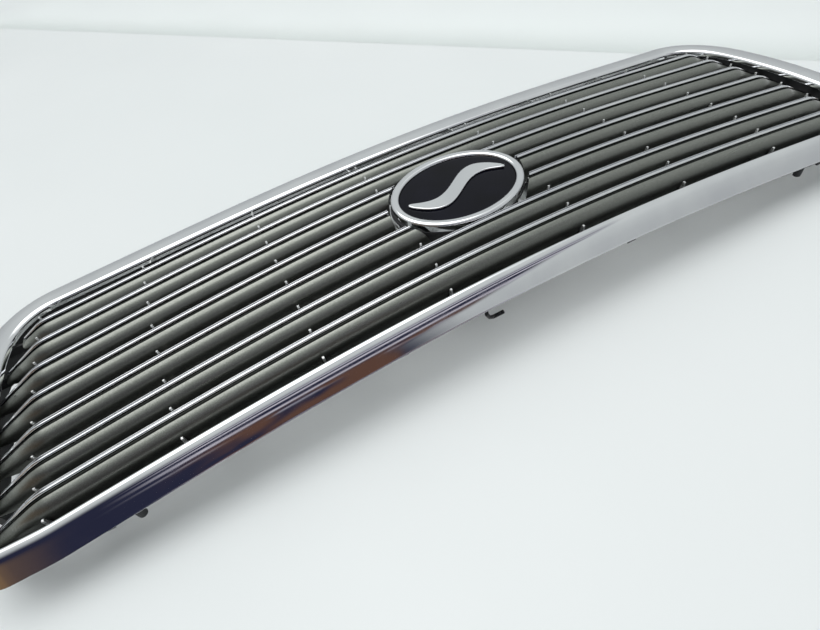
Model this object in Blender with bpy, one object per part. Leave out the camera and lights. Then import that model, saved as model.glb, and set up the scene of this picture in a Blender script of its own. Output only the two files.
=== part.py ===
"""Front grille of a car, lying on its back: louvres, chrome strips, surround and badge.

X is across the car, -Y is the edge at the top of the car, +Y the edge at the bottom,
and +Z is the front of the grille. Lengths are in millimetres until a mesh is made.
The design frame has its origin on the first row of ribs, and PLACE moves it to the
middle of the part's own footprint on the floor.
"""
import math

import bmesh
import bpy
from mathutils import Matrix, Vector

MM = 0.001
PLACE = (0.0, -88.7, 62.0)

# The face of the grille: bowed across the car, swept and crowned from top to bottom.
BOW_2 = -1.852e-4
BOW_4 = 3.35e-10
SWEEP_X = 300.0
SWEEP = (-9.0, 4.0, 6.1)
CROWN_MID = 80.0
CROWN_RISE = 0.037
CROWN_FALL = 7.4
BEND_X = 358.8
BEND_EASE = 7.0
BEND_SLOPE = 0.50

# Louvres, from the top of the car down.
FIRST_ROW = 11.7
ROW_PITCH = (24.0, 27.3, 26.8, 26.8, 25.6, 23.2)
TIP_X = (402.0, 405.0, 405.0, 403.0, 400.0, 395.0, 380.0)
STRIP_HEIGHT = 12.7
BLADE_DEPTH = 24.0
TIP_DEPTH = 3.0
STRIP_END_GAP = 3.0
BLADE_SECTION = ((-4.3, -0.6), (-7.2, -2.0), (-10.2, -5.2), (-12.2, -10.0), (-13.2, -16.0),
                 (-13.6, -24.0), (-10.9, -24.0), (-10.4, -15.0), (-8.4, -9.0), (-5.0, -6.4),
                 (2.4, -4.9), (2.4, -3.4), (-3.9, -3.4))
STRIP_SECTION = ((-1.7, -3.0), (-1.7, 0.2), (-1.0, 1.1), (-0.1, 1.1), (0.6, 0.3), (0.8, -1.2),
                 (1.7, -1.2), (1.7, 0.5), (2.2, 0.5), (2.2, -3.0))
ACROSS = 12

# The opening that the surround frames.
NEAR_Y = -8.0
FAR_Y = 190.0
NEAR_HALF = 413.0
FAR_HALF = 404.0
NEAR_RADIUS = 24.0
FAR_RADIUS = 56.0
CORNER_STEPS = 6
SIDE_STEPS = 3

# Sections of the surround and carrier: outward from the opening, and up from the face.
SURROUND_NEAR = ((0.0, 5.0), (0.6, 7.8), (2.6, 8.8), (6.4, 6.4), (11.0, 0.9), (14.8, -4.6),
                 (16.8, -7.6), (17.5, -8.4), (15.9, -8.4), (12.9, -4.4), (8.8, 1.2),
                 (1.9, 4.6), (1.9, -9.0), (0.0, -9.0))
SURROUND_SIDE = ((-18.0, 5.0), (-17.4, 8.0), (-14.8, 9.6), (-6.0, 9.4), (1.0, 8.6), (4.5, 7.9),
                 (6.0, 7.4), (6.0, 6.0), (4.0, 6.4), (0.0, 7.0), (-8.0, 7.6),
                 (-16.1, 7.4), (-16.1, 4.0), (-18.0, 4.0))
SURROUND_FAR = ((-2.6, 7.2), (-1.8, 9.2), (1.0, 10.2), (9.0, 10.2), (16.0, 9.2), (19.0, 8.2),
                (20.3, 7.5), (20.3, 6.0), (17.5, 6.6), (13.0, 7.4), (8.0, 8.2),
                (-0.6, 7.4), (-0.6, 4.0), (-2.6, 4.0))
CARRIER_NEAR = ((2.4, -6.0), (6.0, -6.0), (6.0, -15.2), (10.4, -15.2), (10.4, -17.6), (2.4, -17.6))
CARRIER_SIDE = ((0.0, 4.0), (2.5, 4.0), (2.5, -9.0), (5.0, -9.0), (5.0, -22.0), (0.0, -22.0))
CARRIER_FAR = ((2.6, 4.0), (5.4, 4.0), (5.4, -9.0), (14.0, -9.0), (14.0, -22.0), (2.6, -22.0))

# Vertical ribs behind the louvres, and the combs that close their ends.
RIB_X = (60.4, 164.2, 267.2, 358.0)
RIB_THICK = 1.6
RIB_BAR = 8.0
RIB_LOW = 15.0
RIB_NEAR = 1.7
RIB_NEAR_TOP = 9.4
RIB_NOTCH = ((-14.4, -15.0), (-14.4, -24.4), (-10.5, -24.4), (-9.7, -15.0), (-8.0, -9.8),
             (-4.6, -7.2))
RIB_POST = ((2.9, -5.5), (2.9, 3.0), (4.3, 3.0), (6.0, -13.0))
GAP = 0.4
COMB_THICK = 1.2
COMB_DEPTH = (3.0, -21.0)
COMB_GAP = 0.8
COMB_STEPS = 9
COMB_RIB = 2.0
COMB_RIB_DEEP = 8.0

# The badge.
BADGE_Y = 83.4
BADGE_A = 60.5
BADGE_B = 44.8
BADGE_TOP = 18.0
BADGE_TILT = 0.06
RING_WIDTH = 7.0
RING_DEPTH = 7.5
FIELD_DROP = 2.6
BASE_A = 62.0
BASE_B = 44.4
BASE_IN = 5.0
BASE_DEPTH = 30.0
CUT_A = 64.9
CUT_B = 47.5
CUT_LEVEL = -4.0
OVAL_SIDES = 48

# Rear fixings.
FOOT_SPAN = (26.0, 128.0)
FOOT_LEG = 22.0
FOOT_RISE = 9.0
FOOT_OUT = 2.5
FOOT_THICK = 5.0
FOOT_STEPS = 5
PIN_X = (-315.0, 305.0)
PIN_RADIUS = 3.2
PIN_LENGTH = 8.0
PIN_OUT = 7.6
HOOK_X = -38.0
HOOK_WIRE = 1.7
CLIP_X = (110.0, 338.0)
CLIP_SIZE = (9.0, 3.0, 6.6)


def clear_scene():
    for thing in list(bpy.data.objects):
        bpy.data.objects.remove(thing, do_unlink=True)


def collection(name):
    made = bpy.data.collections.new(name)
    bpy.context.scene.collection.children.link(made)
    return made


def material(name, colour, metallic, roughness):
    made = bpy.data.materials.new(name)
    made.use_nodes = True
    shader = made.node_tree.nodes["Principled BSDF"]
    shader.inputs["Base Color"].default_value = (*colour, 1.0)
    shader.inputs["Metallic"].default_value = metallic
    shader.inputs["Roughness"].default_value = roughness
    return made


def past_bend(x):
    """How far x lies past the bend near each end, with the bend eased into a curve."""
    d = abs(x) - BEND_X
    if d <= -BEND_EASE:
        return 0.0
    if d >= BEND_EASE:
        return d
    return (d + BEND_EASE) ** 2 / (4 * BEND_EASE)


def face(x, y):
    """The point of the grille's face above nominal place (x, y)."""
    inside = abs(x) - past_bend(x)
    step = (y - CROWN_MID) / 100.0
    sweep = SWEEP[0] + SWEEP[1] * step + SWEEP[2] * step * step
    bow = (BOW_2 * inside ** 2 + BOW_4 * inside ** 4) * (1.0 + 0.076 * step)
    return Vector((x, y + sweep * (inside / SWEEP_X) ** 2,
                   bow + CROWN_RISE * y - CROWN_FALL * step * step))


def to_part(point):
    return (Vector(point) + Vector(PLACE)) * MM


def add_mesh(name, bm, look, home):
    bmesh.ops.recalc_face_normals(bm, faces=bm.faces)
    mesh = bpy.data.meshes.new(name)
    bm.to_mesh(mesh)
    bm.free()
    made = bpy.data.objects.new(name, mesh)
    made.data.materials.append(look)
    home.objects.link(made)
    mesh.shade_smooth()
    mesh.set_sharp_from_angle(angle=math.radians(32.0))
    return made


def loft(name, rings, look, home, closed=False):
    """A skin through rings of points, capped at its two ends unless the path is closed."""
    bm = bmesh.new()
    rows = [[bm.verts.new(to_part(p)) for p in ring] for ring in rings]
    pairs = list(zip(rows, rows[1:]))
    if closed:
        pairs.append((rows[-1], rows[0]))
    else:
        bm.faces.new(rows[0])
        bm.faces.new(rows[-1])
    for one, two in pairs:
        for i in range(len(one)):
            j = (i + 1) % len(one)
            bm.faces.new((one[i], one[j], two[j], two[i]))
    return add_mesh(name, bm, look, home)


def plate(name, outline, low, high, look, home):
    """A flat outline of (y, z) corners made solid between two places along X."""
    return loft(name, [[(x, y, z) for y, z in outline] for x in (low, high)], look, home)


def cylinder(name, radius, depth, centre, turn, look, home, sides=16):
    bm = bmesh.new()
    place = Matrix.Translation(to_part(centre)) @ turn.to_4x4()
    bmesh.ops.create_cone(bm, cap_ends=True, segments=sides, radius1=radius * MM,
                          radius2=radius * MM, depth=depth * MM, matrix=place)
    return add_mesh(name, bm, look, home)


# The opening and the ring-shaped parts.

def opening():
    """Points round the opening with their outward directions, from the near middle on."""
    lean = math.atan2(NEAR_HALF - FAR_HALF, FAR_Y - NEAR_Y)
    near_turn = math.pi / 2 + lean
    far_turn = math.pi / 2 - lean
    near_cut = NEAR_RADIUS * math.tan(near_turn / 2)
    far_cut = FAR_RADIUS * math.tan(far_turn / 2)
    points = []
    half = NEAR_HALF - near_cut
    for i in range(ACROSS // 2 + 1):
        points.append((half * 2 * i / ACROSS, NEAR_Y, 0.0, -1.0))
    for i in range(1, CORNER_STEPS + 1):
        a = near_turn * i / CORNER_STEPS
        out = (math.sin(a), -math.cos(a))
        points.append((half + NEAR_RADIUS * out[0], NEAR_Y + NEAR_RADIUS * (1 + out[1]), *out))
    start = points[-1]
    centre = (FAR_HALF - far_cut, FAR_Y - FAR_RADIUS)
    out = (math.cos(lean), math.sin(lean))
    end = (centre[0] + FAR_RADIUS * out[0], centre[1] + FAR_RADIUS * out[1])
    for i in range(1, SIDE_STEPS + 1):
        t = i / SIDE_STEPS
        points.append((start[0] + (end[0] - start[0]) * t, start[1] + (end[1] - start[1]) * t, *out))
    for i in range(1, CORNER_STEPS + 1):
        a = math.pi / 2 - lean - far_turn * i / CORNER_STEPS
        out = (math.sin(a), math.cos(a))
        points.append((centre[0] + FAR_RADIUS * out[0], centre[1] + FAR_RADIUS * out[1], *out))
    for i in range(1, ACROSS // 2 + 1):
        points.append((centre[0] * (1 - 2 * i / ACROSS), FAR_Y, 0.0, 1.0))
    mirrored = [(-x, y, -u, v) for x, y, u, v in reversed(points[1:-1])]
    return points + mirrored


def ring_sections(near, side, far):
    """Rings of points round the opening; each section's share follows the direction."""
    rings = []
    for x, y, u, v in opening():
        base = face(x, y)
        shares = (v * v if v < 0 else 0.0, u * u, v * v if v > 0 else 0.0)
        ring = []
        for corners in zip(near, side, far):
            out = sum(share * corner[0] for share, corner in zip(shares, corners))
            up = sum(share * corner[1] for share, corner in zip(shares, corners))
            ring.append(base + Vector((u * out, v * out, up)))
        rings.append(ring)
    return rings


def side_half(y):
    """Half the opening's width at a nominal height, rounded in at the corners."""
    half = NEAR_HALF + (FAR_HALF - NEAR_HALF) * (y - NEAR_Y) / (FAR_Y - NEAR_Y)
    for radius, edge in ((NEAR_RADIUS, y - NEAR_Y), (FAR_RADIUS, FAR_Y - y)):
        if edge < radius:
            half -= radius - math.sqrt(radius ** 2 - (radius - edge) ** 2)
    return half


# Louvres and strips.

def row_y(row):
    return FIRST_ROW + sum(ROW_PITCH[:row])


def strip_line(x, row):
    """The line that a strip follows: the face, then straight down past the bend."""
    return face(x, row_y(row)) + Vector((0.0, 0.0, STRIP_HEIGHT - BEND_SLOPE * past_bend(x)))


def blade_depth(x, row):
    """The depth of a blade: full between the bends, then closing on the tip."""
    drop = BEND_SLOPE * past_bend(x)
    tip_drop = BEND_SLOPE * (TIP_X[row] - BEND_X)
    closing = max(0.0, BLADE_DEPTH - TIP_DEPTH - tip_drop) * (drop / tip_drop) ** 2
    return BLADE_DEPTH - drop - closing


def stations(row, low, high):
    """Places along a louvre between two ends, with pairs at each bend."""
    inner = [BEND_X * (2 * i / ACROSS - 1) for i in range(ACROSS + 1)]
    tip = TIP_X[row]
    outer = [BEND_X + (tip - BEND_X) * t for t in (0.5, 0.85)]
    places = inner + outer + [-x for x in outer]
    return [low] + sorted(x for x in places if low + 4 < x < high - 4) + [high]


def badge_cut(y):
    """Half the width that the badge takes out of a line at height y."""
    reach = 1.0 - ((y - BADGE_Y) / CUT_B) ** 2
    return CUT_A * math.sqrt(reach) if reach > 0 else 0.0


def row_rings(row, low, high, section, keep_top):
    """A section along a row, thinner towards the tip; an end at the badge follows its oval."""
    rings = []
    for x in stations(row, low, high):
        fill = blade_depth(x, row) / BLADE_DEPTH
        thin = 0.55 + 0.45 * fill
        at_badge = x in (low, high) and abs(x) <= CUT_A
        ring = []
        for dy, dz in section:
            place = math.copysign(badge_cut(row_y(row) + dy), x) if at_badge else x
            rise = dz if keep_top and dz > 0 else dz * fill
            ring.append(strip_line(place, row) + Vector((0.0, dy * thin, rise)))
        rings.append(ring)
    return rings


def runs(end, cut):
    """The one run across the opening, or the two that the badge leaves."""
    if cut <= 0:
        return [("", -end, end)]
    return [("_left", -end, -cut), ("_right", cut, end)]


def section_cut(row, section):
    """Where a section's end at the badge starts: the widest cut over its corners."""
    return max(badge_cut(row_y(row) + corner[0]) for corner in section)


def is_cut(row):
    return badge_cut(row_y(row) + CUT_LEVEL) > 0


def all_louvres(paint, chrome, home):
    for row, tip in enumerate(TIP_X):
        cut = section_cut(row, BLADE_SECTION) if is_cut(row) else 0.0
        for side, low, high in runs(tip, cut):
            rings = row_rings(row, low, high, BLADE_SECTION, False)
            loft(f"louvre_{row + 1}{side}", rings, paint, home)
        cut = section_cut(row, STRIP_SECTION) if is_cut(row) else 0.0
        for side, low, high in runs(tip - STRIP_END_GAP, cut):
            rings = row_rings(row, low, high, STRIP_SECTION, True)
            loft(f"chrome_strip_{row + 1}{side}", rings, chrome, home)


# Ribs, combs and carrier.

def rib_outline(x):
    """A low bar across X, notched under each blade, with a post behind each strip."""
    near, far = face(x, NEAR_Y), face(x, FAR_Y)
    first, last = strip_line(x, 0), strip_line(x, len(TIP_X) - 1)
    start, stop = near.y + RIB_NEAR, far.y - 2.5
    depth = BLADE_DEPTH + GAP + RIB_BAR
    outline = [(start, first.z - depth), (start, near.z + RIB_NEAR_TOP),
               (start + 2.0, near.z + RIB_NEAR_TOP), (start + 3.2, first.z - RIB_LOW)]
    for row in range(len(TIP_X)):
        line = strip_line(x, row)
        if is_cut(row) and section_cut(row, BLADE_SECTION) > abs(x) + RIB_THICK:
            continue
        reach = ((abs(x) - RIB_THICK) / BASE_A) ** 2
        gone = reach + ((line.y + RIB_POST[-1][0] - BADGE_Y) / BASE_B) ** 2 < 1.1
        corners = RIB_NOTCH + ((RIB_POST[0], RIB_POST[-1]) if gone else RIB_POST)
        outline += [(line.y + dy, line.z + dz) for dy, dz in corners]
    outline += [(stop, far.z - 3.0), (stop, last.z - depth)]
    middle = strip_line(x, 3)
    outline.append((middle.y, middle.z - depth - 1.0))
    return outline


def ribs(look, home):
    places = sorted([-x for x in RIB_X] + list(RIB_X))
    for number, x in enumerate(places, 1):
        plate(f"rib_{number}", rib_outline(x), x - RIB_THICK / 2, x + RIB_THICK / 2, look, home)


def end_comb(name, side, look, home, guides):
    """A liner on the opening's side wall with a short rib to the tip of each louvre."""
    first, last = row_y(0) - 12.0, row_y(6) + 4.0
    liner = []
    for i in range(COMB_STEPS + 1):
        y = first + (last - first) * i / COMB_STEPS
        base = face(side * side_half(y), y)
        ring = []
        for inward, level in ((0.0, 0), (COMB_THICK, 0), (COMB_THICK, 1), (0.0, 1)):
            shift = Vector((-side * (COMB_GAP + inward), 0.0, COMB_DEPTH[level]))
            ring.append(base + shift)
        liner.append(ring)
    body = loft(name, liner, look, home)
    bm = bmesh.new()
    for row in range(len(TIP_X)):
        tip = strip_line(side * TIP_X[row], row)
        wall = side_half(row_y(row) - 3.0) - COMB_GAP - 0.5 * COMB_THICK
        reach = wall - TIP_X[row] - GAP
        middle = (side * (wall - 0.5 * reach), tip.y - 3.0, tip.z - 4.5)
        scale = Matrix.Diagonal((reach * MM, COMB_RIB * MM, COMB_RIB_DEEP * MM, 1.0))
        bmesh.ops.create_cube(bm, size=1.0, matrix=Matrix.Translation(to_part(middle)) @ scale)
    blocks = add_mesh(name + "_blocks", bm, look, guides)
    blocks.hide_render = True
    blocks.display_type = "WIRE"
    join = body.modifiers.new("ribs", "BOOLEAN")
    join.operation = "UNION"
    join.solver = "EXACT"
    join.object = blocks


# The badge.

def oval(a, b, level, sides=OVAL_SIDES):
    """Points round an oval parallel to the badge's face, a level below its top."""
    points = []
    for i in range(sides):
        angle = 2 * math.pi * i / sides
        y = b * math.sin(angle)
        points.append((a * math.cos(angle), BADGE_Y + y, BADGE_TOP + BADGE_TILT * y - level))
    return points


def badge(chrome, gloss, matte, home):
    inner_a, inner_b = BADGE_A - RING_WIDTH, BADGE_B - RING_WIDTH
    ring = (oval(BADGE_A, BADGE_B, RING_DEPTH), oval(BADGE_A, BADGE_B, 1.4),
            oval(BADGE_A - 1.8, BADGE_B - 1.8, 0.0), oval(inner_a + 1.2, inner_b + 1.2, 0.4),
            oval(inner_a, inner_b, 1.6), oval(inner_a, inner_b, RING_DEPTH))
    loft("badge_ring", ring, chrome, home, closed=True)
    edge = inner_a - GAP, inner_b - GAP
    loft("badge_field", (oval(*edge, FIELD_DROP + 2.0), oval(*edge, FIELD_DROP)), gloss, home)
    rim = BASE_A, BASE_B
    tray = BADGE_A - RING_WIDTH, BADGE_B - RING_WIDTH
    under = RING_DEPTH + GAP
    body = BASE_A - BASE_IN, BASE_B - BASE_IN
    loft("badge_base", (oval(*body, BASE_DEPTH), oval(*body, 13.4), oval(*rim, 10.4),
                        oval(*rim, under), oval(*tray, under)), matte, home)
    wave_motif(chrome, home)
    for side, tag in ((-1, "left"), (1, "right")):
        top = BADGE_TOP - BASE_DEPTH - GAP
        nut(f"badge_nut_{tag}", side * 34.0, BADGE_Y, top, matte, home)


def wave_motif(look, home):
    """A plain wave-shaped bar across the badge's field."""
    reach = BADGE_A - RING_WIDTH - 6.0
    upper, lower = [], []
    for i in range(21):
        t = -1.0 + 0.1 * i
        middle = 11.0 * math.sin(math.pi * t)
        half = 6.5 * (1.0 - t * t) ** 0.5 + 0.8
        upper.append((reach * t, middle + half))
        lower.append((reach * t, middle - half))
    outline = upper + lower[::-1]
    rings = []
    for level in (FIELD_DROP - GAP, FIELD_DROP - 2.2):
        rings.append([(x, BADGE_Y + y, BADGE_TOP + BADGE_TILT * y - level) for x, y in outline])
    loft("badge_motif", rings, look, home)


def nut(name, x, y, top, look, home):
    """A washer-faced nut on a stud behind the badge."""
    def ring(radius, level, sides=12):
        angles = [2 * math.pi * i / sides for i in range(sides)]
        return [(x + radius * math.cos(a), y + radius * math.sin(a), top - level) for a in angles]
    loft(name, (ring(7.0, 0.0), ring(7.0, 1.6), ring(4.2, 1.6), ring(4.2, 6.4), ring(2.0, 6.4),
                ring(2.0, 10.0)), look, home)


# Rear fixings.

def side_bracket(name, side, look, home):
    """A plate behind the carrier's side whose two legs reach the resting plane."""
    low, high = FOOT_SPAN
    x = side * (side_half(0.5 * (low + high)) + FOOT_OUT)
    floor = -PLACE[2]
    outline = [(low, floor), (low + FOOT_LEG, floor), (low + FOOT_LEG + 5.0, floor + FOOT_RISE),
               (high - FOOT_LEG - 5.0, floor + FOOT_RISE), (high - FOOT_LEG, floor), (high, floor)]
    for i in range(FOOT_STEPS + 1):
        y = high + (low - high) * i / FOOT_STEPS
        under = face(side_half(y), y) + Vector((0.0, 0.0, CARRIER_FAR[-1][1] - 2 * GAP))
        outline.append((y, under.z))
    plate(name, outline, x - FOOT_THICK / 2, x + FOOT_THICK / 2, look, home)


def pins(look, home):
    for x, tag in zip(PIN_X, ("left", "right")):
        base = face(x, NEAR_Y)
        centre = base + Vector((0.0, -PIN_OUT, -17.6 - GAP - PIN_LENGTH / 2))
        cylinder(f"locating_pin_{tag}", PIN_RADIUS, PIN_LENGTH, centre, Matrix.Identity(3), look, home)


def hook(look, home):
    """A bent wire hook under the top edge: down, then across."""
    base = face(HOOK_X, NEAR_Y) + Vector((0.0, -8.6, -17.6 - 2 * GAP))
    points = (Vector((0, 0, 0)), Vector((0, -1.5, -4.0)), Vector((1.5, -3.0, -6.6)),
              Vector((4.6, -3.5, -7.4)), Vector((14.0, -3.5, -7.4)))
    path = bpy.data.curves.new("centre_hook", "CURVE")
    path.dimensions = "3D"
    path.bevel_depth = HOOK_WIRE * MM
    path.bevel_resolution = 2
    path.use_fill_caps = True
    line = path.splines.new("POLY")
    line.points.add(len(points) - 1)
    for spot, offset in zip(line.points, points):
        spot.co = (*to_part(base + offset), 1.0)
    made = bpy.data.objects.new("centre_hook", path)
    made.data.materials.append(look)
    home.objects.link(made)


def clips(look, home):
    """Barbed snap clips behind the carrier, along its two long sides."""
    width, thick, depth = CLIP_SIZE
    for edge, y, out, level in (("upper", NEAR_Y, -4.6, -17.6), ("lower", FAR_Y, 8.2, -22.0)):
        places = sorted([-x for x in CLIP_X] + list(CLIP_X))
        for number, x in enumerate(places, 1):
            base = face(x, y)
            top = base.z + level - GAP - 0.4
            y_mid = base.y + out
            outline = ((y_mid - thick / 2, top), (y_mid + thick / 2, top),
                       (y_mid + thick / 2, top - depth + 5), (y_mid + thick, top - depth + 3.5),
                       (y_mid + 0.4, top - depth), (y_mid - thick / 2, top - depth))
            plate(f"{edge}_clip_{number}", outline, x - width / 2, x + width / 2, look, home)


def build():
    clear_scene()
    home = collection("front_grille")
    guides = collection("front_grille_cutters")
    chrome = material("chrome", (0.80, 0.82, 0.84), 1.0, 0.06)
    paint = material("satin_gunmetal", (0.13, 0.135, 0.125), 0.55, 0.38)
    matte = material("matte_black_plastic", (0.018, 0.018, 0.020), 0.0, 0.55)
    gloss = material("gloss_black", (0.006, 0.006, 0.010), 0.0, 0.05)
    loft("surround", ring_sections(SURROUND_NEAR, SURROUND_SIDE, SURROUND_FAR), chrome, home, closed=True)
    loft("carrier_frame", ring_sections(CARRIER_NEAR, CARRIER_SIDE, CARRIER_FAR), matte, home, closed=True)
    all_louvres(paint, chrome, home)
    ribs(matte, home)
    end_comb("end_comb_left", -1, matte, home, guides)
    end_comb("end_comb_right", 1, matte, home, guides)
    badge(chrome, gloss, matte, home)
    side_bracket("side_bracket_left", -1, matte, home)
    side_bracket("side_bracket_right", 1, matte, home)
    pins(matte, home)
    hook(matte, home)
    clips(matte, home)


build()
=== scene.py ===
"""Looks of a car's front grille that lies on its back on a pale table.

X is across the car, -Y is the edge at the top of the car and +Z is the front of the
grille. The pieces are worked out in millimetres from the same formulas as the solids
that they stand for, with finer sections, and PLACE moves them into the part's frame.
"""
import math

import bmesh
import bpy
from mathutils import Matrix, Vector


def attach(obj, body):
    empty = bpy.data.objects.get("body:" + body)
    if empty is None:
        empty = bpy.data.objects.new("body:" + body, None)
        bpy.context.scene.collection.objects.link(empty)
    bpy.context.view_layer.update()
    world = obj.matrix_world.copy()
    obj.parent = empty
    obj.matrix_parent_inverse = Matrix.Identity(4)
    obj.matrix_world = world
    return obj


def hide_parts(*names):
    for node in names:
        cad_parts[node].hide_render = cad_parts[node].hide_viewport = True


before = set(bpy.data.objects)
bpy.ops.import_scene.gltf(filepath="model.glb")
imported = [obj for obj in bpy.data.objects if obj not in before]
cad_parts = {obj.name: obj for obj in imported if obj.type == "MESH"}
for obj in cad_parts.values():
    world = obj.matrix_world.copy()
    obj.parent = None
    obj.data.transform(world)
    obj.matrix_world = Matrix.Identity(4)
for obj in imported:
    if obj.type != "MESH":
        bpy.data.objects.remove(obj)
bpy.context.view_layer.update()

MM = 0.001
SHARP = 50.0
PLACE = (0.0, -88.7, 62.0)

# The face of the grille: bowed across the car, swept and crowned from top to bottom.
BOW_2 = -1.852e-4
BOW_4 = 3.35e-10
BOW_LEAN = 0.076
SWEEP_X = 300.0
SWEEP = (-9.0, 4.0, 6.1)
CROWN_MID = 80.0
CROWN_RISE = 0.037
CROWN_FALL = 7.4
BEND_X = 358.8
BEND_EASE = 7.0
BEND_SLOPE = 0.50

# Louvres, from the top of the car down.
FIRST_ROW = 11.7
ROW_PITCH = (24.0, 27.3, 26.8, 26.8, 25.6, 23.2)
TIP_X = (402.0, 405.0, 405.0, 403.0, 400.0, 395.0, 380.0)
STRIP_HEIGHT = 12.7
BLADE_DEPTH = 24.0
TIP_DEPTH = 3.0
TIP_WIDTH = 0.55  # a section's width at the tip, as a share of its full width
STRIP_END_GAP = 3.0
GROOVE = 3.0
STATION = 6.0
FINE_STATION = 2.0
FINE_REACH = 12.0

# The opening that the surround frames.
NEAR_Y = -8.0
FAR_Y = 190.0
NEAR_HALF = 413.0
FAR_HALF = 404.0
NEAR_RADIUS = 24.0
FAR_RADIUS = 56.0
ACROSS = 140
CORNER_STEPS = 22
SIDE_STEPS = 22

# Sections as corners (out or across, up, how far the corner is rounded).
BLADE_SECTION = ((-4.3, -0.6, 0.5), (-7.2, -2.0, 1.6), (-10.2, -5.2, 2.0), (-12.2, -10.0, 2.4),
                 (-13.2, -16.0, 3.0), (-13.6, -24.0, 0.5), (-10.9, -24.0, 0.5), (-10.4, -15.0, 3.0),
                 (-8.4, -9.0, 2.0), (-5.0, -6.4, 1.0), (2.4, -4.9, 0.3), (2.4, -3.4, 0.3),
                 (-3.9, -3.4, 0.2))
STRIP_SECTION = ((-1.7, -3.0, 0.1), (-1.7, 0.2, 0.6), (-1.0, 1.1, 0.5), (-0.1, 1.1, 0.4),
                 (0.6, 0.3, 0.4), (0.8, -1.2, 0.2), (1.7, -1.2, 0.2), (1.7, 0.5, 0.15),
                 (2.2, 0.5, 0.15), (2.2, -3.0, 0.1))
SURROUND_NEAR = ((0.0, 5.0, 1.4), (0.6, 7.8, 1.2), (2.6, 8.8, 2.0), (6.4, 6.4, 3.0),
                 (11.0, 0.9, 3.0), (14.8, -4.6, 2.0), (16.8, -7.6, 0.6), (17.5, -8.4, 0.3),
                 (15.9, -8.4, 0.3), (12.9, -4.4, 2.0), (8.8, 1.2, 3.0), (1.9, 4.6, 1.0),
                 (1.9, -9.0, 0.4), (0.0, -9.0, 0.4))
SURROUND_SIDE = ((-18.0, 5.0, 0.5), (-17.4, 8.0, 1.4), (-14.8, 9.6, 2.0), (-6.0, 9.4, 3.0),
                 (1.0, 8.6, 2.0), (4.5, 7.9, 0.8), (6.0, 7.4, 0.5), (6.0, 6.0, 0.4),
                 (4.0, 6.4, 0.8), (0.0, 7.0, 2.0), (-8.0, 7.6, 2.0), (-16.1, 7.4, 0.8),
                 (-16.1, 4.0, 0.3), (-18.0, 4.0, 0.3))
SURROUND_FAR = ((-2.6, 7.2, 0.8), (-1.8, 9.2, 1.0), (1.0, 10.2, 1.6), (9.0, 10.2, 3.0),
                (16.0, 9.2, 2.0), (19.0, 8.2, 0.8), (20.3, 7.5, 0.4), (20.3, 6.0, 0.4),
                (17.5, 6.6, 1.0), (13.0, 7.4, 2.0), (8.0, 8.2, 2.0), (-0.6, 7.4, 0.6),
                (-0.6, 4.0, 0.3), (-2.6, 4.0, 0.3))
CARRIER_NEAR = ((2.4, -6.0, 0.5), (6.0, -6.0, 0.8), (6.0, -15.2, 0.8), (10.4, -15.2, 0.5),
                (10.4, -17.6, 0.5), (2.4, -17.6, 0.5))
CARRIER_SIDE = ((0.0, 4.0, 0.4), (2.5, 4.0, 0.4), (2.5, -9.0, 0.4), (5.0, -9.0, 0.4),
                (5.0, -22.0, 0.5), (0.0, -22.0, 0.5))
CARRIER_FAR = ((2.6, 4.0, 0.4), (5.4, 4.0, 0.8), (5.4, -9.0, 0.8), (14.0, -9.0, 0.5),
               (14.0, -22.0, 0.5), (2.6, -22.0, 0.5))

# Vertical ribs behind the louvres, and the combs that close their ends.
RIB_X = (60.4, 164.2, 267.2, 358.0)
RIB_THICK = 1.6
RIB_BAR = 8.0
RIB_LOW = 15.0
RIB_NEAR = 1.7
RIB_NEAR_TOP = 9.4
RIB_NEAR_STEP = (2.0, 3.2)
RIB_FAR = 2.5
RIB_FAR_DROP = 3.0
RIB_BELLY = 1.0
RIB_BADGE_CLEAR = 1.1  # how far a full post stands off the badge's base, 1 being its edge
RIB_NOTCH = ((-14.4, -15.0), (-14.4, -24.4), (-10.5, -24.4), (-9.7, -15.0), (-8.0, -9.8),
             (-4.6, -7.2))
RIB_POST = ((2.9, -5.5), (2.9, 3.0), (4.3, 3.0), (6.0, -13.0))
GAP = 0.4
EDGE = 0.3
COMB_THICK = 1.2
COMB_DEPTH = (3.0, -21.0)
COMB_GAP = 0.8
COMB_STEPS = 48
COMB_ENDS = (-12.0, 4.0)
COMB_RIB = 2.0
COMB_RIB_DEEP = 8.0
COMB_RIB_BACK = 3.0
COMB_RIB_DROP = 4.5

# The badge.
BADGE_Y = 83.4
BADGE_A = 60.5
BADGE_B = 44.8
BADGE_TOP = 18.0
BADGE_TILT = 0.06
RING_WIDTH = 7.0
RING_DEPTH = 7.5
RING_SECTION = ((0.0, RING_DEPTH, 0.3), (0.0, 1.4, 1.0), (1.8, 0.0, 1.2),
                (RING_WIDTH - 1.2, 0.4, 1.0), (RING_WIDTH, 1.6, 0.8),
                (RING_WIDTH, RING_DEPTH, 0.3))
FIELD_DROP = 2.6
FIELD_THICK = 2.0
BASE_A = 62.0
BASE_B = 44.4
BASE_IN = 5.0
BASE_DEPTH = 30.0
BASE_STEP = (13.4, 10.4)
CUT_A = 64.9
CUT_B = 47.5
CUT_LEVEL = -4.0
OVAL_SIDES = 160
OVAL_ROUNDING = 5
MOTIF_MARGIN = 6.0
MOTIF_SWING = 11.0
MOTIF_HALF = 6.5
MOTIF_END = 0.8
MOTIF_LEVELS = (FIELD_DROP - GAP, FIELD_DROP - 2.2)
MOTIF_STEPS = 60
NUT_X = 34.0
NUT_SIDES = 24
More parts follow.
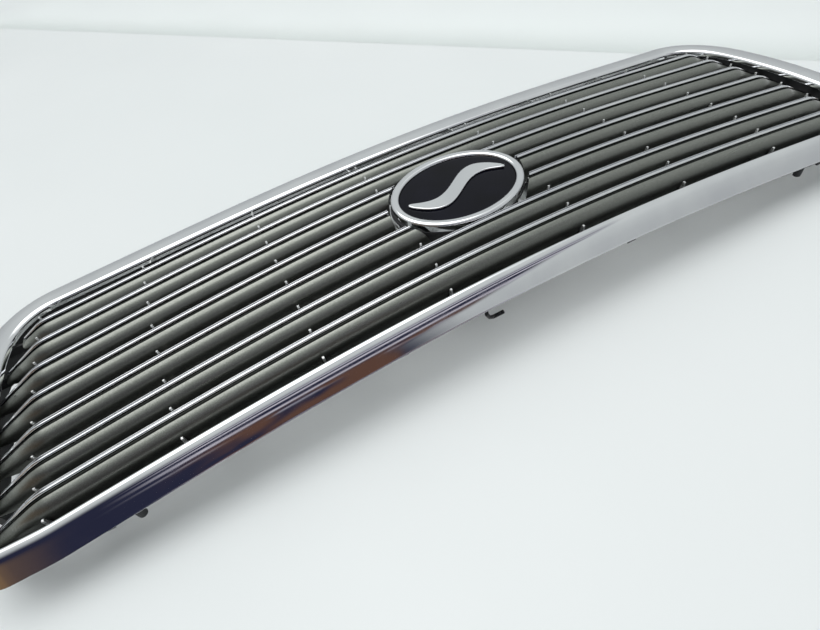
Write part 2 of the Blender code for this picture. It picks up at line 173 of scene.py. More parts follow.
# A nut's rings, from its washer to its stud's end (radius, level, whether hexagonal).
NUT_RINGS = ((6.8, 0.1, False), (7.0, 0.4, False), (7.0, 1.3, False), (6.4, 1.6, False),
             (4.6, 1.6, True), (4.6, 6.2, True), (3.6, 6.5, False), (2.0, 6.5, False),
             (2.0, 9.6, False), (1.6, 10.0, False))
NUT_SHARP = 30.0

# The viewer and the room.
VIEWER = (-167.301, -216.857, 255.737)
VIEWER_AIM = (-96.406, -8.269, 0.0)
VIEWER_ROLL = -0.200
VIEWER_LENS = 20.70
TABLE_SIZE = 14.0
TABLE_DROP = 0.0004
WALL_START = (-580.0, 1589.0)
WALL_END = (585.0, 97.0)
# How brightly the wall glows: painted light.
WALL_GLOW = 0.42


# Shapes shared by the pieces.

def soften(corners, steps=4):
    """A closed outline of (a, b, reach) corners with each corner rounded."""
    points = []
    for i, (a, b, reach) in enumerate(corners):
        here = Vector((a, b))
        ends = []
        for other in (corners[i - 1], corners[(i + 1) % len(corners)]):
            way = Vector(other[:2]) - here
            ends.append(here + way * min(0.5, reach / max(way.length, 1e-6)))
        for k in range(steps + 1):
            t = k / steps
            points.append(ends[0] * (1 - t) ** 2 + here * 2 * t * (1 - t) + ends[1] * t ** 2)
    return points


def past_bend(x):
    """How far x lies past the bend near each end, with the bend eased into a curve."""
    d = abs(x) - BEND_X
    if d <= -BEND_EASE:
        return 0.0
    if d >= BEND_EASE:
        return d
    return (d + BEND_EASE) ** 2 / (4 * BEND_EASE)


def face(x, y):
    """The point of the grille's face above nominal place (x, y)."""
    inside = abs(x) - past_bend(x)
    step = (y - CROWN_MID) / 100.0
    sweep = SWEEP[0] + SWEEP[1] * step + SWEEP[2] * step * step
    bow = (BOW_2 * inside ** 2 + BOW_4 * inside ** 4) * (1.0 + BOW_LEAN * step)
    return Vector((x, y + sweep * (inside / SWEEP_X) ** 2,
                   bow + CROWN_RISE * y - CROWN_FALL * step * step))


def to_part(point):
    """A point in the grille's millimetres as a point in the part's frame, in metres."""
    return (Vector(point) + Vector(PLACE)) * MM


def finish_mesh(name, bm, sharp=SHARP):
    """The finished mesh as an object, smooth except where its faces turn by more than sharp."""
    bmesh.ops.recalc_face_normals(bm, faces=bm.faces)
    mesh = bpy.data.meshes.new(name)
    bm.to_mesh(mesh)
    bm.free()
    made = bpy.data.objects.new(name, mesh)
    bpy.context.scene.collection.objects.link(made)
    mesh.shade_smooth()
    mesh.set_sharp_from_angle(angle=math.radians(sharp))
    return made


def loft(name, rings, closed=False, sharp=SHARP):
    """A skin through rings of points, capped at its two ends unless the path is closed."""
    bm = bmesh.new()
    rows = [[bm.verts.new(to_part(p)) for p in ring] for ring in rings]
    pairs = list(zip(rows, rows[1:]))
    if closed:
        pairs.append((rows[-1], rows[0]))
    else:
        bm.faces.new(rows[0])
        bm.faces.new(rows[-1])
    for one, two in pairs:
        for i in range(len(one)):
            j = (i + 1) % len(one)
            bm.faces.new((one[i], one[j], two[j], two[i]))
    return finish_mesh(name, bm, sharp)


def bevel(piece, width, segments=2):
    """The piece with its sharp edges rounded by a width in millimetres."""
    edge = piece.modifiers.new("edges", "BEVEL")
    edge.width = width * MM
    edge.segments = segments
    edge.limit_method = "ANGLE"
    edge.angle_limit = math.radians(40)
    return piece


def show(piece, look, slot, *nodes):
    """The piece takes its finish, rides with the part and stands for the CAD nodes."""
    piece.data.materials.clear()
    piece.data.materials.append(look)
    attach(piece, "root")
    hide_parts(*nodes)
    return piece


# Materials.

class Look:
    """A Principled material with helpers that add procedural nodes to it."""

    def __init__(self, name, colour, metallic, roughness):
        self.material = bpy.data.materials.new(name)
        self.material.use_nodes = True
        self.tree = self.material.node_tree
        self.shader = self.tree.nodes["Principled BSDF"]
        self.set("Base Color", (*colour, 1.0))
        self.set("Metallic", metallic)
        self.set("Roughness", roughness)
        self.place = self.tree.nodes.new("ShaderNodeTexCoord").outputs["Object"]

    def set(self, socket, value):
        self.shader.inputs[socket].default_value = value

    def link(self, source, target):
        self.tree.links.new(source, target)

    def stretch(self, scale):
        """The object's coordinates scaled unevenly, for grain that runs one way."""
        node = self.tree.nodes.new("ShaderNodeMapping")
        node.inputs["Scale"].default_value = scale
        self.link(self.place, node.inputs["Vector"])
        return node.outputs["Vector"]

    def noise(self, scale, detail=3.0, rough=0.5, where=None):
        node = self.tree.nodes.new("ShaderNodeTexNoise")
        node.inputs["Scale"].default_value = scale
        node.inputs["Detail"].default_value = detail
        node.inputs["Roughness"].default_value = rough
        self.link(where or self.place, node.inputs["Vector"])
        return node.outputs["Fac"]

    def cells(self, scale):
        node = self.tree.nodes.new("ShaderNodeTexVoronoi")
        node.inputs["Scale"].default_value = scale
        self.link(self.place, node.inputs["Vector"])
        return node.outputs["Color"]

    def ramp(self, factor, stops):
        node = self.tree.nodes.new("ShaderNodeValToRGB")
        line = node.color_ramp.elements
        while len(line) < len(stops):
            line.new(0.5)
        for element, (at, colour) in zip(line, stops):
            element.position = at
            element.color = (*colour, 1.0)
        self.link(factor, node.inputs["Fac"])
        return node.outputs["Color"]

    def range(self, factor, low, high, start=0.3, stop=0.7):
        node = self.tree.nodes.new("ShaderNodeMapRange")
        node.inputs["From Min"].default_value = start
        node.inputs["From Max"].default_value = stop
        node.inputs["To Min"].default_value = low
        node.inputs["To Max"].default_value = high
        self.link(factor, node.inputs["Value"])
        return node.outputs["Result"]

    def bump(self, height, strength, depth, under=None):
        node = self.tree.nodes.new("ShaderNodeBump")
        node.inputs["Strength"].default_value = strength
        node.inputs["Distance"].default_value = depth * MM
        self.link(height, node.inputs["Height"])
        if under is not None:
            self.link(under, node.inputs["Normal"])
        return node.outputs["Normal"]

    def painted_shade_by_facing(self, start, stop, least):
        """A painted-shade factor that falls from 1 to least as the surface turns away from the
        front.
        """
        split = self.tree.nodes.new("ShaderNodeSeparateXYZ")
        self.link(self.tree.nodes.new("ShaderNodeTexCoord").outputs["Normal"], split.inputs[0])
        return self.range(split.outputs["Z"], least, 1.0, start, stop)

    def painted_groove_shade(self, reach):
        """A painted-shade factor from ambient occlusion that falls in grooves narrower than reach,
        in metres.
        """
        node = self.tree.nodes.new("ShaderNodeAmbientOcclusion")
        node.inputs["Distance"].default_value = reach
        return self.range(node.outputs["AO"], 0.05, 1.0, 0.50, 0.92)

    def clear_except_from(self, seen_side):
        """See-through for a viewer who isn't on the side that seen_side points to."""
        side = self.tree.nodes.new("ShaderNodeVectorMath")
        side.operation = "DOT_PRODUCT"
        side.inputs[1].default_value = seen_side
        place = self.tree.nodes.new("ShaderNodeNewGeometry")
        self.link(place.outputs["Incoming"], side.inputs[0])
        front = self.tree.nodes.new("ShaderNodeMath")
        front.operation = "GREATER_THAN"
        front.inputs[1].default_value = 0.0
        self.link(side.outputs["Value"], front.inputs[0])
        mix = self.tree.nodes.new("ShaderNodeMixShader")
        self.link(front.outputs[0], mix.inputs[0])
        self.link(self.tree.nodes.new("ShaderNodeBsdfTransparent").outputs[0], mix.inputs[1])
        self.link(self.shader.outputs[0], mix.inputs[2])
        self.link(mix.outputs[0], self.tree.nodes["Material Output"].inputs["Surface"])

    def shade(self, colour, factor):
        """The colour multiplied by a plain factor."""
        node = self.tree.nodes.new("ShaderNodeVectorMath")
        node.operation = "SCALE"
        self.link(colour, node.inputs[0])
        self.link(factor, node.inputs["Scale"])
        return node.outputs[0]

    def drive(self, socket, source):
        self.link(source, self.shader.inputs[socket])


def chrome_look():
    """Bright plating on moulded plastic: nearly a mirror, with faint waves and smudges."""
    look = Look("chrome", (0.80, 0.81, 0.83), 1.0, 0.05)
    smudge = look.noise(45.0, 4.0, 0.6)
    look.drive("Roughness", look.range(smudge, 0.035, 0.10, 0.35, 0.75))
    look.drive("Base Color", look.ramp(look.noise(18.0, 3.0), (
        (0.35, (0.76, 0.77, 0.79)), (0.65, (0.84, 0.85, 0.86)))))
    waves = look.bump(look.noise(30.0, 1.0), 0.25, 0.10)
    look.drive("Normal", look.bump(look.noise(900.0, 2.0), 0.06, 0.01, waves))
    return look.material


def gunmetal_look():
    """Satin metallic paint with fine flakes. Painted shade darkens it as the surface turns away
    from the front, as at a blade's foot, and in narrow grooves.
    """
    look = Look("satin_gunmetal", (0.26, 0.27, 0.24), 0.85, 0.30)
    flakes = look.cells(2600.0)
    colour = look.ramp(flakes, (
        (0.0, (0.20, 0.21, 0.185)), (0.6, (0.26, 0.27, 0.245)), (1.0, (0.34, 0.35, 0.325))))
    # Painted shade: the colour darkens as the surface turns away from the front.
    colour = look.shade(colour, look.painted_shade_by_facing(0.12, 0.78, 0.26))
    # Painted shade: the colour darkens in grooves narrower than GROOVE, from ambient occlusion.
    look.drive("Base Color", look.shade(colour, look.painted_groove_shade(GROOVE * MM)))
    streaks = look.noise(1.0, 3.0, 0.6, look.stretch((14.0, 260.0, 260.0)))
    look.drive("Roughness", look.range(streaks, 0.27, 0.35))
    look.drive("Normal", look.bump(look.noise(1500.0, 2.0), 0.18, 0.02))
    return look.material


def rib_highlight_look():
    """The ribs in a lighter copy of the louvres' satin paint: a painted highlight on their tips."""
    # The light base colour is a painted highlight. The ribs carry the same paint as the louvres.
    look = Look("satin_rib_painted_highlight", (0.72, 0.73, 0.72), 0.9, 0.28)
    look.drive("Base Color", look.ramp(look.noise(700.0, 2.0), (
        (0.3, (0.64, 0.65, 0.64)), (0.7, (0.80, 0.81, 0.80)))))
    look.drive("Roughness", look.range(look.noise(300.0, 3.0), 0.24, 0.36))
    return look.material


def gloss_look():
    """Gloss black lens over the badge's field, with faint dust in its finish."""
    look = Look("gloss_black", (0.003, 0.003, 0.007), 0.0, 0.06)
    look.set("Specular IOR Level", 0.16)
    look.drive("Roughness", look.range(look.noise(120.0, 4.0), 0.04, 0.12))
    look.drive("Base Color", look.ramp(look.noise(25.0, 2.0), (
        (0.3, (0.002, 0.002, 0.004)), (0.7, (0.005, 0.005, 0.011)))))
    return look.material


def plastic_look():
    """Moulded black plastic with a fine spark-eroded grain."""
    look = Look("black_plastic", (0.016, 0.016, 0.018), 0.0, 0.52)
    look.drive("Roughness", look.range(look.noise(35.0, 3.0), 0.44, 0.62))
    look.drive("Base Color", look.ramp(look.noise(60.0, 4.0), (
        (0.35, (0.012, 0.012, 0.014)), (0.7, (0.026, 0.026, 0.028)))))
    look.drive("Normal", look.bump(look.noise(1400.0, 3.0, 0.6), 0.35, 0.06))
    return look.material


def steel_look():
    """Black phosphated steel wire and nuts, with lighter rubbed patches."""
    look = Look("black_steel", (0.03, 0.03, 0.032), 0.85, 0.42)
    wear = look.noise(220.0, 4.0, 0.65)
    look.drive("Base Color", look.ramp(wear, (
        (0.45, (0.02, 0.02, 0.022)), (0.72, (0.16, 0.155, 0.15)))))
    look.drive("Roughness", look.range(wear, 0.50, 0.30))
    look.drive("Normal", look.bump(look.noise(900.0, 3.0), 0.3, 0.04))
    return look.material


def table_look():
    """A pale, slightly glossy table top with faint unevenness."""
    look = Look("table_top", (0.80, 0.83, 0.83), 0.0, 0.45)
    look.drive("Base Color", look.ramp(look.noise(1.2, 3.0), (
        (0.3, (0.78, 0.815, 0.815)), (0.7, (0.82, 0.845, 0.845)))))
    look.drive("Roughness", look.range(look.noise(9.0, 3.0), 0.40, 0.52))
    return look.material


# The surround and the carrier behind it.

def opening():
    """Points round the opening with their outward directions, from the near middle on."""
    lean = math.atan2(NEAR_HALF - FAR_HALF, FAR_Y - NEAR_Y)
    near_turn = math.pi / 2 + lean
    far_turn = math.pi / 2 - lean
    near_cut = NEAR_RADIUS * math.tan(near_turn / 2)
    far_cut = FAR_RADIUS * math.tan(far_turn / 2)
    points = []
    half = NEAR_HALF - near_cut
    for i in range(ACROSS // 2 + 1):
        points.append((half * 2 * i / ACROSS, NEAR_Y, 0.0, -1.0))
    for i in range(1, CORNER_STEPS + 1):
        a = near_turn * i / CORNER_STEPS
        out = (math.sin(a), -math.cos(a))
        points.append((half + NEAR_RADIUS * out[0], NEAR_Y + NEAR_RADIUS * (1 + out[1]), *out))
    start = points[-1]
    centre = (FAR_HALF - far_cut, FAR_Y - FAR_RADIUS)
    out = (math.cos(lean), math.sin(lean))
    end = (centre[0] + FAR_RADIUS * out[0], centre[1] + FAR_RADIUS * out[1])
    for i in range(1, SIDE_STEPS + 1):
        t = i / SIDE_STEPS
        points.append((start[0] + (end[0] - start[0]) * t,
                       start[1] + (end[1] - start[1]) * t, *out))
    for i in range(1, CORNER_STEPS + 1):
        a = math.pi / 2 - lean - far_turn * i / CORNER_STEPS
        out = (math.sin(a), math.cos(a))
        points.append((centre[0] + FAR_RADIUS * out[0], centre[1] + FAR_RADIUS * out[1], *out))
    for i in range(1, ACROSS // 2 + 1):
        points.append((centre[0] * (1 - 2 * i / ACROSS), FAR_Y, 0.0, 1.0))
    mirrored = [(-x, y, -u, v) for x, y, u, v in reversed(points[1:-1])]
    return points + mirrored


def ring_sections(near, side, far):
    """Rings of points round the opening; each section's share follows the direction."""
    rings = []
    for x, y, u, v in opening():
        base = face(x, y)
        shares = (v * v if v < 0 else 0.0, u * u, v * v if v > 0 else 0.0)
        mixed = [[sum(share * corner[k] for share, corner in zip(shares, corners))
                  for k in range(3)] for corners in zip(near, side, far)]
        rings.append([base + Vector((u * out, v * out, up)) for out, up in soften(mixed)])
    return rings


def side_half(y):
    """Half the opening's width at a nominal height, rounded in at the corners."""
    half = NEAR_HALF + (FAR_HALF - NEAR_HALF) * (y - NEAR_Y) / (FAR_Y - NEAR_Y)
    for radius, edge in ((NEAR_RADIUS, y - NEAR_Y), (FAR_RADIUS, FAR_Y - y)):
        if edge < radius:
            half -= radius - math.sqrt(radius ** 2 - (radius - edge) ** 2)
    return half


# Louvres and strips.

def row_y(row):
    """The nominal height of a row's strip."""
    return FIRST_ROW + sum(ROW_PITCH[:row])


def strip_line(x, row):
    """The line that a strip follows: the face, then straight down past the bend."""
    return face(x, row_y(row)) + Vector((0.0, 0.0, STRIP_HEIGHT - BEND_SLOPE * past_bend(x)))


def blade_depth(x, row):
    """The depth of a blade: full between the bends, then closing on the tip."""
    drop = BEND_SLOPE * past_bend(x)
    tip_drop = BEND_SLOPE * (TIP_X[row] - BEND_X)
    closing = max(0.0, BLADE_DEPTH - TIP_DEPTH - tip_drop) * (drop / tip_drop) ** 2
    return BLADE_DEPTH - drop - closing


def stations(low, high):
    """Places along a louvre, closer together where it bends and near its ends."""
    places = [low]
    while places[-1] < high:
        x = places[-1]
        fine = abs(abs(x) - BEND_X) < FINE_REACH or abs(x) > BEND_X
        places.append(x + (FINE_STATION if fine else STATION))
    places[-1] = high
    return places


def badge_cut(y):
    """Half the width that the badge takes out of a line at height y."""
    reach = 1.0 - ((y - BADGE_Y) / CUT_B) ** 2
    return CUT_A * math.sqrt(reach) if reach > 0 else 0.0


def along_row(name, row, low, high, section, keep_top):
    """A section along a row, thinner towards the tip; an end at the badge follows its oval."""
    outline = soften(section, 3)
    rings = []
    for x in stations(low, high):
        fill = blade_depth(x, row) / BLADE_DEPTH
        thin = TIP_WIDTH + (1.0 - TIP_WIDTH) * fill
        at_badge = x in (low, high) and abs(x) <= CUT_A
        ring = []
        for dy, dz in outline:
            place = math.copysign(badge_cut(row_y(row) + dy), x) if at_badge else x
            rise = dz if keep_top and dz > 0 else dz * fill
            ring.append(strip_line(place, row) + Vector((0.0, dy * thin, rise)))
        rings.append(ring)
    return loft(name, rings)


def runs(end, cut):
    """The one run across the opening, or the two that the badge leaves."""
    if cut <= 0:
        return [("", -end, end)]
    return [("_left", -end, -cut), ("_right", cut, end)]


def section_cut(row, section):
    """Where a section's end at the badge starts: the widest cut over its corners."""
    return max(badge_cut(row_y(row) + corner[0]) for corner in section)


def is_cut(row):
    """Whether the badge parts a row in two."""
    return badge_cut(row_y(row) + CUT_LEVEL) > 0


def all_louvres(paint, chrome):
    for row, tip in enumerate(TIP_X):
        cut = section_cut(row, BLADE_SECTION) if is_cut(row) else 0.0
        for side, low, high in runs(tip, cut):
            node = f"louvre_{row + 1}{side}"
            blade = along_row(node + "_blade", row, low, high, BLADE_SECTION, False)
            show(blade, paint, "satin_gunmetal", node)
        cut = section_cut(row, STRIP_SECTION) if is_cut(row) else 0.0
        for side, low, high in runs(tip - STRIP_END_GAP, cut):
            node = f"chrome_strip_{row + 1}{side}"
            bead = along_row(node + "_bead", row, low, high, STRIP_SECTION, True)
            show(bead, chrome, "chrome", node)


# Ribs and end combs.

def rib_outline(x):
    """A low bar across X, notched under each blade, with a post behind each strip."""
    near, far = face(x, NEAR_Y), face(x, FAR_Y)
    first, last = strip_line(x, 0), strip_line(x, len(TIP_X) - 1)
    start, stop = near.y + RIB_NEAR, far.y - RIB_FAR
    depth = BLADE_DEPTH + GAP + RIB_BAR
    outline = [(start, first.z - depth), (start, near.z + RIB_NEAR_TOP),
               (start + RIB_NEAR_STEP[0], near.z + RIB_NEAR_TOP),
               (start + RIB_NEAR_STEP[1], first.z - RIB_LOW)]
    for row in range(len(TIP_X)):
        line = strip_line(x, row)
        if is_cut(row) and section_cut(row, BLADE_SECTION) > abs(x) + RIB_THICK:
            continue
        reach = ((abs(x) - RIB_THICK) / BASE_A) ** 2
        rise = ((line.y + RIB_POST[-1][0] - BADGE_Y) / BASE_B) ** 2
        gone = reach + rise < RIB_BADGE_CLEAR
        corners = RIB_NOTCH + ((RIB_POST[0], RIB_POST[-1]) if gone else RIB_POST)
        outline += [(line.y + dy, line.z + dz) for dy, dz in corners]
    outline += [(stop, far.z - RIB_FAR_DROP), (stop, last.z - depth)]
    middle = strip_line(x, len(TIP_X) // 2)
    outline.append((middle.y, middle.z - depth - RIB_BELLY))
    return outline


def ribs(look):
    places = sorted([-x for x in RIB_X] + list(RIB_X))
    for number, x in enumerate(places, 1):
        sides = [[(x + side * RIB_THICK / 2, y, z) for y, z in rib_outline(x)] for side in (-1, 1)]
        rib = bevel(loft(f"rib_{number}_web", sides), EDGE)
        show(rib, look, "satin_gunmetal", f"rib_{number}")


def end_comb(name, side, look):
    """A liner on the opening's side wall with a short rib to the tip of each louvre."""
    first, last = row_y(0) + COMB_ENDS[0], row_y(len(TIP_X) - 1) + COMB_ENDS[1]
    bm = bmesh.new()
    rows = []
    for i in range(COMB_STEPS + 1):
        y = first + (last - first) * i / COMB_STEPS
        base = face(side * side_half(y), y)
        ring = []
        for inward, level in ((0.0, 0), (COMB_THICK, 0), (COMB_THICK, 1), (0.0, 1)):
            shift = Vector((-side * (COMB_GAP + inward), 0.0, COMB_DEPTH[level]))
            ring.append(bm.verts.new(to_part(base + shift)))
        rows.append(ring)
    for one, two in zip(rows, rows[1:]):
        for k in range(4):
            bm.faces.new((one[k], one[(k + 1) % 4], two[(k + 1) % 4], two[k]))
    bm.faces.new(rows[0])
    bm.faces.new(rows[-1])
    for row in range(len(TIP_X)):
        tip = strip_line(side * TIP_X[row], row)
        wall = side_half(row_y(row) - COMB_RIB_BACK) - COMB_GAP - 0.5 * COMB_THICK
        reach = wall - TIP_X[row] - GAP
        middle = (side * (wall - 0.5 * reach), tip.y - COMB_RIB_BACK, tip.z - COMB_RIB_DROP)
        scale = Matrix.Diagonal((reach * MM, COMB_RIB * MM, COMB_RIB_DEEP * MM, 1.0))
        bmesh.ops.create_cube(bm, size=1.0, matrix=Matrix.Translation(to_part(middle)) @ scale)
    comb = bevel(finish_mesh(name + "_liner", bm), EDGE)
    show(comb, look, "black_plastic", name)


# The badge.

def oval(a, b, level):
    """Points round an oval parallel to the badge's face, a level below its top."""
    points = []
    for i in range(OVAL_SIDES):
        angle = 2 * math.pi * i / OVAL_SIDES
        y = b * math.sin(angle)
        points.append((a * math.cos(angle), BADGE_Y + y, BADGE_TOP + BADGE_TILT * y - level))
    return points


def oval_ring(name, a, b, corners):
    """An oval ring whose section has corners (inward from a and b, level, rounding)."""
    rings = [oval(a - inward, b - inward, level)
             for inward, level in soften(corners, OVAL_ROUNDING)]
    return loft(name, rings, closed=True)


def badge(chrome, gloss, matte, steel):
    """The ring, the field inside it, the base behind them, the motif and the nuts."""
    band = oval_ring("badge_ring_band", BADGE_A, BADGE_B, RING_SECTION)
    show(band, chrome, "chrome", "badge_ring")
    edge_a, edge_b = BADGE_A - RING_WIDTH - GAP, BADGE_B - RING_WIDTH - GAP
    field = [oval(edge_a, edge_b, FIELD_DROP + FIELD_THICK), oval(edge_a, edge_b, FIELD_DROP)]
    lens = bevel(loft("badge_field_lens", field), 0.35, 3)
    show(lens, gloss, "gloss_black", "badge_field")
    under = RING_DEPTH + GAP
    tray_a, tray_b = BADGE_A - RING_WIDTH, BADGE_B - RING_WIDTH
    body = BASE_A - BASE_IN, BASE_B - BASE_IN
    base = (oval(*body, BASE_DEPTH), oval(*body, BASE_STEP[0]),
            oval(BASE_A, BASE_B, BASE_STEP[1]), oval(BASE_A, BASE_B, under),
            oval(tray_a, tray_b, under))
    show(bevel(loft("badge_base_tray", base), 0.6, 3), matte, "black_plastic", "badge_base")
    wave_motif(chrome)
    for side, tag in ((-1, "left"), (1, "right")):
        flange_nut(f"badge_nut_{tag}", side * NUT_X, BADGE_Y, BADGE_TOP - BASE_DEPTH - GAP, steel)


def wave_motif(look):
    """A plain wave-shaped bar across the badge's field."""
    reach = BADGE_A - RING_WIDTH - MOTIF_MARGIN
    upper, lower = [], []
    for i in range(MOTIF_STEPS + 1):
        t = -1.0 + 2.0 * i / MOTIF_STEPS
        middle = MOTIF_SWING * math.sin(math.pi * t)
        half = MOTIF_HALF * math.sqrt(max(0.0, 1.0 - t * t)) + MOTIF_END
        upper.append((reach * t, middle + half))
        lower.append((reach * t, middle - half))
    outline = upper + lower[::-1]
    rings = [[(x, BADGE_Y + y, BADGE_TOP + BADGE_TILT * y - level) for x, y in outline]
             for level in MOTIF_LEVELS]
    show(bevel(loft("badge_motif_wave", rings), 0.7, 3), look, "chrome", "badge_motif")


def flange_nut(name, x, y, top, look):
    """A washer-faced hexagon nut on a stud behind the badge."""
    rings = []
    for radius, level, hexagon in NUT_RINGS:
        ring = []
        for i in range(NUT_SIDES):
            a = 2 * math.pi * i / NUT_SIDES
            flat = math.cos(math.pi / 6) / math.cos((a + math.pi / 6) % (math.pi / 3) - math.pi / 6)
            r = radius * (flat if hexagon else 1.0)
            ring.append((x + r * math.cos(a), y + r * math.sin(a), top - level))
        rings.append(ring)
    show(loft(name + "_hex", rings, sharp=NUT_SHARP), look, "black_steel", name)


# The whole grille, the table, the wall, the room, the light and the camera.

def build():
    """Every piece of the grille; the nodes still showing keep their shape and get a finish."""
    chrome, paint, gloss = chrome_look(), gunmetal_look(), gloss_look()
    matte, steel = plastic_look(), steel_look()
    rings = ring_sections(SURROUND_NEAR, SURROUND_SIDE, SURROUND_FAR)
    trim = loft("surround_trim", rings, closed=True)
    show(trim, chrome, "chrome", "surround")
    rings = ring_sections(CARRIER_NEAR, CARRIER_SIDE, CARRIER_FAR)
    carrier = loft("carrier_rail", rings, closed=True)
    show(carrier, matte, "black_plastic", "carrier_frame")
    all_louvres(paint, chrome)
    ribs(rib_highlight_look())
    end_comb("end_comb_left", -1, matte)
    end_comb("end_comb_right", 1, matte)
    badge(chrome, gloss, matte, steel)
    for name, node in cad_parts.items():
        if not node.hide_render:
            finish = steel if name == "centre_hook" else matte
            for number in range(len(node.data.materials)):
                node.data.materials[number] = finish


def add_table():
    """The table top, just under what the grille rests on."""
    bpy.ops.mesh.primitive_plane_add(size=TABLE_SIZE, location=(0.0, 0.0, -TABLE_DROP))
    table = bpy.context.object
    table.name = "table_top"
    table.data.materials.append(table_look())


def add_wall():
    """A low pale wall past the grille's far right corner, with a painted shadow strip at its foot.
    Both glow faintly: painted light.

    It shows only from its far side, where it hides part of the grille. From the grille's
    side, and so for the viewer, it is clear.
    """
    start, end = Vector(WALL_START), Vector(WALL_END)
    along = (end - start).normalized()
    across = Vector((along.y, -along.x))
    # The second sheet is a darker strip at the wall's foot: painted shadow where the wall meets the
    # table.
    for name, height, back, colour in (("wall", 150.0, 0.0, (0.60, 0.64, 0.61)),
                                       ("wall_foot_shadow", 5.0, 1.5, (0.30, 0.32, 0.30))):
        look = Look(name, colour, 0.0, 0.6)
        tint = look.ramp(look.noise(4.0, 3.0), (
            (0.3, tuple(0.97 * c for c in colour)), (0.7, tuple(1.03 * c for c in colour))))
        look.drive("Base Color", tint)
        # The emission makes the wall and its foot strip glow faintly: painted light.
        look.drive("Emission Color", tint)
        look.set("Emission Strength", WALL_GLOW)
        look.clear_except_from((-across.x, -across.y, 0.0))
        bm = bmesh.new()
        corners = []
        for spot in (start, end):
            x, y = spot + across * back
            corners.append([(x, y, -PLACE[2]), (x, y, height - PLACE[2])])
        order = corners[0] + corners[1][::-1]
        bm.faces.new([bm.verts.new(to_part(point)) for point in order])
        piece = finish_mesh(name, bm)
        piece.data.materials.append(look.material)


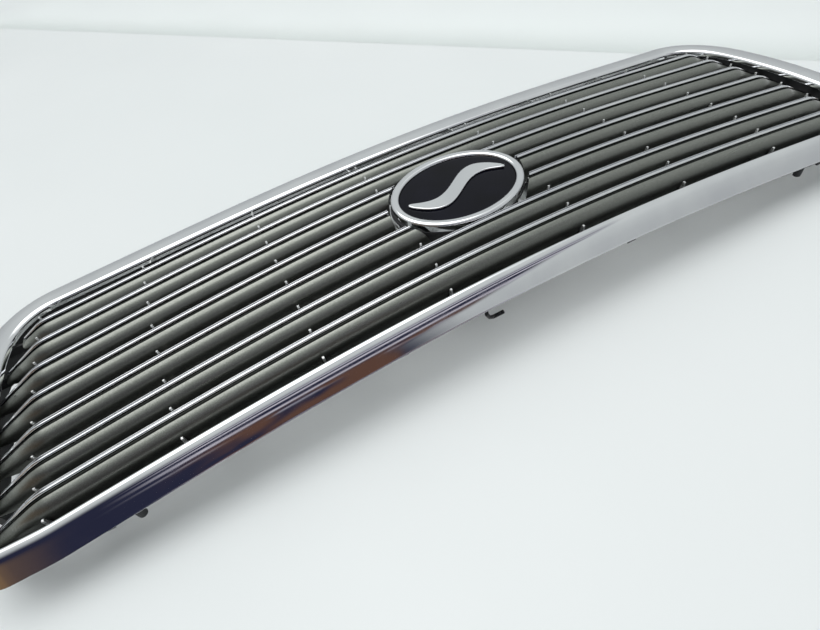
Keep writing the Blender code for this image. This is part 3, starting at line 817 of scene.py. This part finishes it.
def add_world():
    """A pale room, as the chrome mirrors it. The camera itself sees a plain pale backdrop.

    It is bright overhead and dark towards the side that the grille's top faces. The dark
    side has pale streaks high up, warm patches low down and a warm corner on the left.
    """
    world = bpy.data.worlds.new("pale_room")
    bpy.context.scene.world = world
    world.use_nodes = True
    tree = world.node_tree
    tree.nodes.clear()
    new, link = tree.nodes.new, tree.links.new

    def math_node(operation, one, two=0.0):
        node = new("ShaderNodeMath")
        node.operation = operation
        for socket, value in zip(node.inputs, (one, two)):
            if isinstance(value, (int, float)):
                socket.default_value = value
            else:
                link(value, socket)
        return node.outputs[0]

    def times(one, two):
        return math_node("MULTIPLY", one, two)

    def plus(one, two):
        return math_node("ADD", one, two)

    def rise(value, start, stop):
        """0 up to start, 1 from stop on, and smooth between them."""
        node = new("ShaderNodeMapRange")
        node.interpolation_type = "SMOOTHSTEP"
        node.inputs["From Min"].default_value = start
        node.inputs["From Max"].default_value = stop
        link(value, node.inputs["Value"])
        return node.outputs["Result"]

    def fall(value, start, stop):
        return math_node("SUBTRACT", 1.0, rise(value, start, stop))

    def blend(factor, one, two):
        node = new("ShaderNodeMix")
        node.data_type = "RGBA"
        link(factor, node.inputs["Factor"])
        for socket, value in ((node.inputs[6], one), (node.inputs[7], two)):
            if isinstance(value, tuple):
                socket.default_value = (*value, 1.0)
            else:
                link(value, socket)
        return node.outputs[2]

    way = new("ShaderNodeTexCoord").outputs["Generated"]
    split = new("ShaderNodeSeparateXYZ")
    link(way, split.inputs[0])
    x, y, z = split.outputs
    toward = plus(times(y, -0.95), times(x, -0.32))
    above = plus(times(z, 0.975), plus(times(x, -0.16), times(y, 0.15)))
    room = blend(rise(z, 0.0, 0.6), (0.44, 0.46, 0.47), (0.62, 0.65, 0.65))
    room = blend(rise(above, 0.80, 0.93), room, (2.3, 2.33, 2.33))
    slanted = times(rise(plus(toward, times(z, 1.6)), 1.19, 1.30), fall(z, 0.50, 0.76))
    level = times(rise(toward, 0.76, 0.88), fall(z, 0.30, 0.50))
    dark_side = math_node("MAXIMUM", slanted, level)
    room = blend(dark_side, room, (0.022, 0.024, 0.050))
    streak = rise(math_node("SINE", times(z, 70.0)), -0.3, 0.9)
    streak = times(streak, times(dark_side, rise(z, 0.26, 0.34)))
    room = blend(times(streak, rise(x, -0.44, -0.26)), room, (0.62, 0.60, 0.68))
    low = fall(z, 0.30, 0.42)
    patch = new("ShaderNodeTexNoise")
    patch.inputs["Scale"].default_value = 5.0
    link(way, patch.inputs["Vector"])
    warm = times(low, rise(patch.outputs["Fac"], 0.40, 0.52))
    warm = times(times(warm, rise(x, -0.36, -0.20)), dark_side)
    room = blend(warm, room, (0.120, 0.062, 0.045))
    corner = times(rise(times(x, -1.0), 0.45, 0.65), rise(toward, 0.30, 0.50))
    room = blend(times(corner, low), room, (0.20, 0.125, 0.07))
    seen = new("ShaderNodeLightPath").outputs["Is Camera Ray"]
    background = new("ShaderNodeBackground")
    link(blend(seen, room, (0.80, 0.82, 0.82)), background.inputs["Color"])
    link(background.outputs[0], new("ShaderNodeOutputWorld").inputs["Surface"])


def add_light(name, place, aim, size, power, colour):
    """A rectangular lamp at a place, turned to a point."""
    data = bpy.data.lights.new(name, "AREA")
    data.shape = "RECTANGLE"
    data.size, data.size_y = size
    data.energy = power
    data.color = colour
    lamp = bpy.data.objects.new(name, data)
    bpy.context.scene.collection.objects.link(lamp)
    lamp.location = place
    lamp.rotation_euler = (Vector(aim) - Vector(place)).to_track_quat("-Z", "Y").to_euler()


def add_camera():
    """The viewer stands over the grille's top left, and looks down across its face."""
    place, target = to_part(VIEWER), to_part(VIEWER_AIM)
    forward = (target - place).normalized()
    right = forward.cross(Vector((0.0, 0.0, 1.0))).normalized()
    up = right.cross(forward)
    c, s = math.cos(VIEWER_ROLL), math.sin(VIEWER_ROLL)
    turn = Matrix((c * right + s * up, c * up - s * right, -forward)).transposed()
    data = bpy.data.cameras.new("viewer")
    data.sensor_width = 36.0
    data.lens = VIEWER_LENS
    data.clip_start = 0.01
    camera = bpy.data.objects.new("viewer", data)
    bpy.context.scene.collection.objects.link(camera)
    camera.matrix_world = Matrix.Translation(place) @ turn.to_4x4()
    bpy.context.scene.camera = camera


build()
add_table()
add_wall()
add_world()
add_light("overhead_softbox", (0.1, 0.3, 1.5), (0.0, 0.0, 0.0), (1.8, 1.2), 1.5, (1.0, 0.99, 0.97))
add_camera()
bpy.context.scene.view_settings.view_transform = "Standard"
